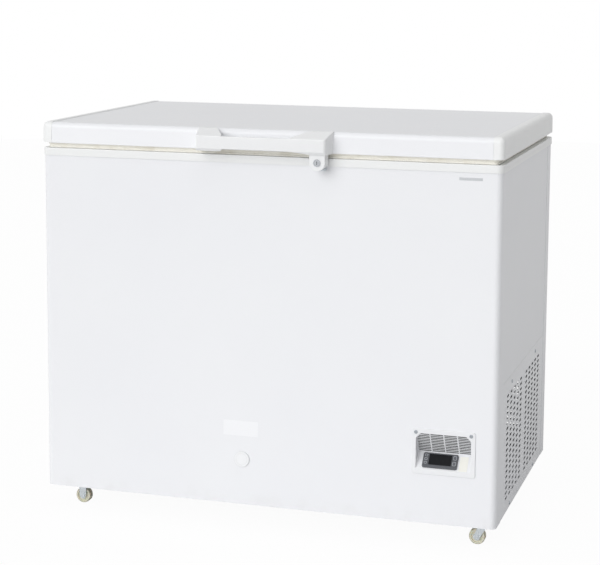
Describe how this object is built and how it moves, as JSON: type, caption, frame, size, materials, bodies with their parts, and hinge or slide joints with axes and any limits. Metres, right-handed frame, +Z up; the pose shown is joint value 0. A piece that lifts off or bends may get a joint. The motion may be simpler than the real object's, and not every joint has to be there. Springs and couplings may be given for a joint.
{
  "type": "ultra_low_temperature_freezer",
  "caption": "White chest freezer with a hinged top lid, lockable front handle, recessed control panel, vented service panel and small casters.",
  "frame": {"origin": "on the floor under the middle of the freezer's bounding box with the lid closed", "axes": "+X to the right along the long side seen from the front, -Y to the front (handle side), +Z up"},
  "size_m": [1.115, 0.757, 0.95],
  "materials": {
    "white_paint": "smooth white powder coat",
    "galvanised": "bright zinc plate",
    "screw_steel": "zinc-plated screws",
    "lock_chrome": "polished chrome",
    "white_plastic": "white moulded plastic",
    "bezel_plastic": "pale grey-white moulded plastic",
    "foam": "closed-cell polyurethane foam",
    "liner_white": "white moulded sheet",
    "liner_aluminium": "stucco aluminium sheet",
    "copper": "copper tube",
    "fin_aluminium": "thin mill-finish fins",
    "cream_rubber": "cream extruded seal",
    "black_rubber": "black moulded rubber",
    "drain_plastic": "white plastic pipe",
    "dark_plastic": "dark grey moulded plastic",
    "dark_window": "black display window",
    "key_plastic": "grey key caps",
    "black_paint": "black enamel",
    "caster_nylon": "beige nylon"
  },
  "bodies": {
    "cabinet": {"front_panel": "white_paint", "rear_panel": "white_paint", "left_side_panel": "white_paint", "right_side_panel": "white_paint", "service_panel": "white_paint", "service_screws": "screw_steel", "base_pan": "galvanised", "cabinet_insulation": "foam", "inner_liner": "liner_aluminium", "machine_bay_lining": "galvanised", "top_collar": "white_plastic", "evaporator_coil": "copper", "drain_tube": "drain_plastic", "lock_strike": "galvanised", "control_bezel": "bezel_plastic", "front_screws": "screw_steel", "controller_case": "dark_plastic", "display_window": "dark_window", "compressor": "black_paint", "compressor_grommets": "black_rubber", "compressor_terminal_cover": "dark_plastic", "condenser_tubes": "copper", "condenser_fins": "fin_aluminium", "fan_shroud": "galvanised", "fan_motor": "black_paint", "filter_drier": "copper", "refrigerant_lines": "copper", "electrics_box": "dark_plastic", "power_inlet_gland": "black_rubber", "chamber_sensor": "copper", "hinge_bases": "galvanised", "hinge_springs": "galvanised", "hinge_screws": "screw_steel", "rigid_casters": "galvanised", "swivel_caster_plates": "galvanised", "caster_bolts": "screw_steel"},
    "lid": {"lid_skin": "white_paint", "lid_cap_left": "white_plastic", "lid_cap_right": "white_plastic", "lid_insulation": "foam", "lid_inner_panel": "liner_white", "lid_gasket": "cream_rubber", "handle": "white_plastic", "lock_housing": "white_plastic", "hinge_leaves": "galvanised", "lid_screws": "screw_steel"},
    "lock_cylinder": {"lock_cylinder": "lock_chrome"},
    "drain_cap": {"drain_cap": "white_plastic"},
    "fan_blade": {"fan_blade": "dark_plastic"},
    "key_left_top": {"key_left_top": "key_plastic"},
    "key_left_middle": {"key_left_middle": "key_plastic"},
    "key_left_bottom": {"key_left_bottom": "key_plastic"},
    "key_right_top": {"key_right_top": "key_plastic"},
    "key_right_bottom": {"key_right_bottom": "key_plastic"},
    "swivel_fork_front": {"swivel_fork_front": "galvanised"},
    "swivel_fork_rear": {"swivel_fork_rear": "galvanised"},
    "swivel_wheel_front": {"swivel_wheel_front": "caster_nylon"},
    "swivel_wheel_rear": {"swivel_wheel_rear": "caster_nylon"},
    "rigid_wheel_front": {"rigid_wheel_front": "caster_nylon"},
    "rigid_wheel_rear": {"rigid_wheel_rear": "caster_nylon"}
  },
  "joints": [
    {"name": "lid_hinge", "type": "hinge", "parent": "cabinet", "child": "lid", "pos_m": [0, 0.3695, 0.894], "axis": [-1, 0, 0], "range_deg": [0, 85]},
    {"name": "lock_turn", "type": "hinge", "parent": "lid", "child": "lock_cylinder", "pos_m": [0.137, -0.3565, 0.8805], "axis": [0, -1, 0], "range_deg": [0, 90]},
    {"name": "drain_pull", "type": "slide", "parent": "cabinet", "child": "drain_cap", "axis": [0, -1, 0], "range_m": [0, 0.045]},
    {"name": "fan_spin", "type": "hinge", "parent": "cabinet", "child": "fan_blade", "pos_m": [0.4017, -0.185, 0.1945], "axis": [0, 1, 0], "continuous": true},
    {"name": "key_left_top_press", "type": "slide", "parent": "cabinet", "child": "key_left_top", "axis": [0, 0.7399, -0.6727], "range_m": [0, 0.0006], "stiffness_N_per_m": 600, "springref_m": -0.0002},
    {"name": "key_left_middle_press", "type": "slide", "parent": "cabinet", "child": "key_left_middle", "axis": [0, 0.7399, -0.6727], "range_m": [0, 0.0006], "stiffness_N_per_m": 600, "springref_m": -0.0002},
    {"name": "key_left_bottom_press", "type": "slide", "parent": "cabinet", "child": "key_left_bottom", "axis": [0, 0.7399, -0.6727], "range_m": [0, 0.0006], "stiffness_N_per_m": 600, "springref_m": -0.0002},
    {"name": "key_right_top_press", "type": "slide", "parent": "cabinet", "child": "key_right_top", "axis": [0, 0.7399, -0.6727], "range_m": [0, 0.0006], "stiffness_N_per_m": 600, "springref_m": -0.0002},
    {"name": "key_right_bottom_press", "type": "slide", "parent": "cabinet", "child": "key_right_bottom", "axis": [0, 0.7399, -0.6727], "range_m": [0, 0.0006], "stiffness_N_per_m": 600, "springref_m": -0.0002},
    {"name": "swivel_front", "type": "hinge", "parent": "cabinet", "child": "swivel_fork_front", "pos_m": [0.5245, -0.2755, 0.05], "axis": [0, 0, 1], "continuous": true},
    {"name": "swivel_wheel_front_roll", "type": "hinge", "parent": "swivel_fork_front", "child": "swivel_wheel_front", "pos_m": [0.5025, -0.2755, 0.019], "axis": [0, 1, 0], "continuous": true},
    {"name": "rigid_wheel_front_roll", "type": "hinge", "parent": "cabinet", "child": "rigid_wheel_front", "pos_m": [-0.486, -0.2755, 0.019], "axis": [0, 1, 0], "continuous": true},
    {"name": "swivel_rear", "type": "hinge", "parent": "cabinet", "child": "swivel_fork_rear", "pos_m": [0.5245, 0.2905, 0.05], "axis": [0, 0, 1], "continuous": true},
    {"name": "swivel_wheel_rear_roll", "type": "hinge", "parent": "swivel_fork_rear", "child": "swivel_wheel_rear", "pos_m": [0.5025, 0.2905, 0.019], "axis": [0, 1, 0], "continuous": true},
    {"name": "rigid_wheel_rear_roll", "type": "hinge", "parent": "cabinet", "child": "rigid_wheel_rear", "pos_m": [-0.486, 0.2905, 0.019], "axis": [0, 1, 0], "continuous": true}
  ]
}
